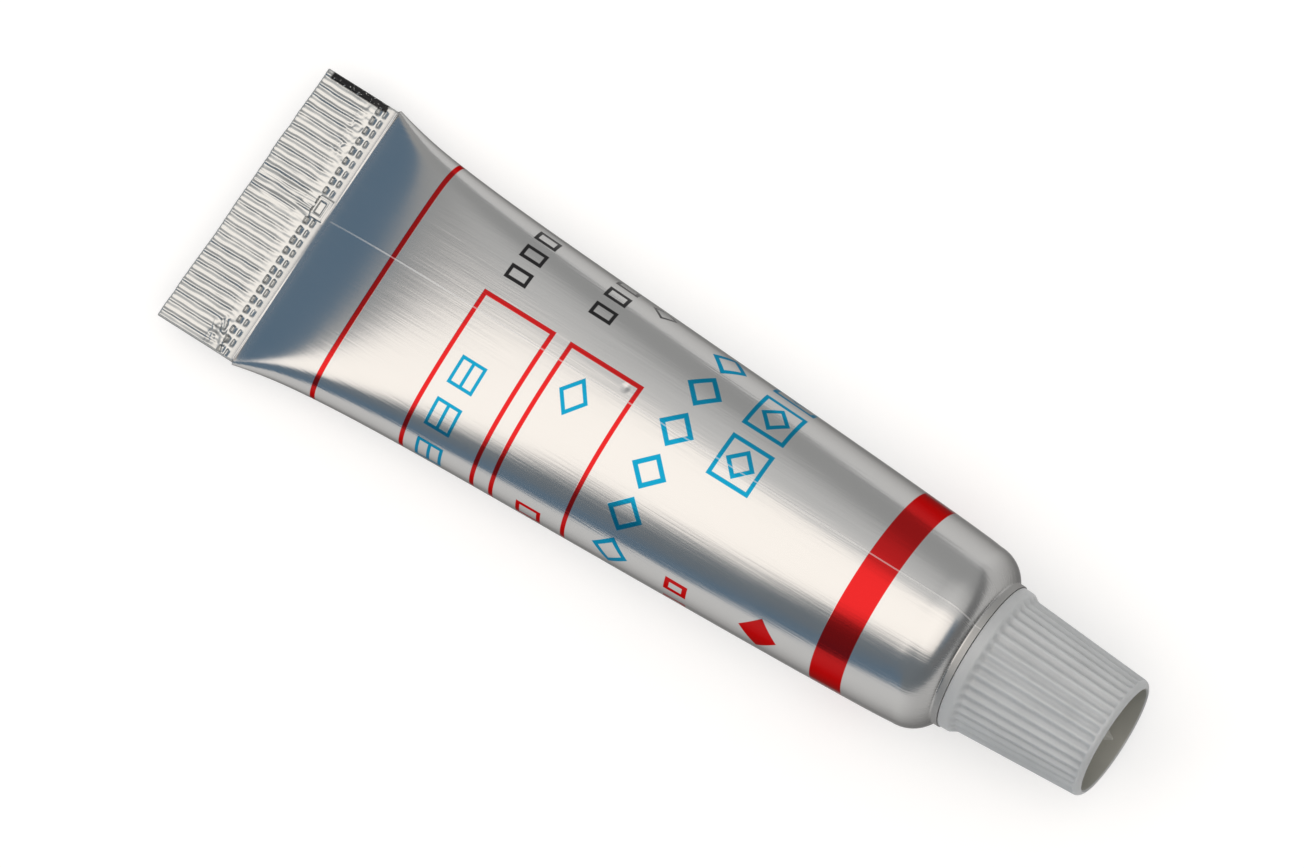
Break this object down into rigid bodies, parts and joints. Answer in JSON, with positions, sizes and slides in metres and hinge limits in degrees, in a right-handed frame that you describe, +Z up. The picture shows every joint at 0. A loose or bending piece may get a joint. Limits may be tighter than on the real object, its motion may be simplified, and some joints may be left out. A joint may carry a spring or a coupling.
{
  "type": "polishing paste tube",
  "caption": "Small squeezable aluminium tube for polishing paste, with a ridged folded tail, a rounded shoulder and a fluted screw cap that carries a piercing spike.",
  "frame": {"origin": "centre of the bounding box, on the surface that the tube lies on", "axes": "+X along the tube from its folded tail to its cap, +Z up out of the surface, +Y to the left of +X"},
  "size_m": [0.0696, 0.0202, 0.0135],
  "materials": {
    "printed_aluminium": "satin",
    "cap_plastic": "satin"
  },
  "bodies": {
    "tube": {"tube": "printed_aluminium"},
    "cap": {"cap": "cap_plastic"}
  },
  "joints": [
    {"name": "cap_lift", "type": "slide", "parent": "tube", "child": "cap", "axis": [0.9974, 0, 0.0714], "range_m": [0, 0.015]}
  ]
}
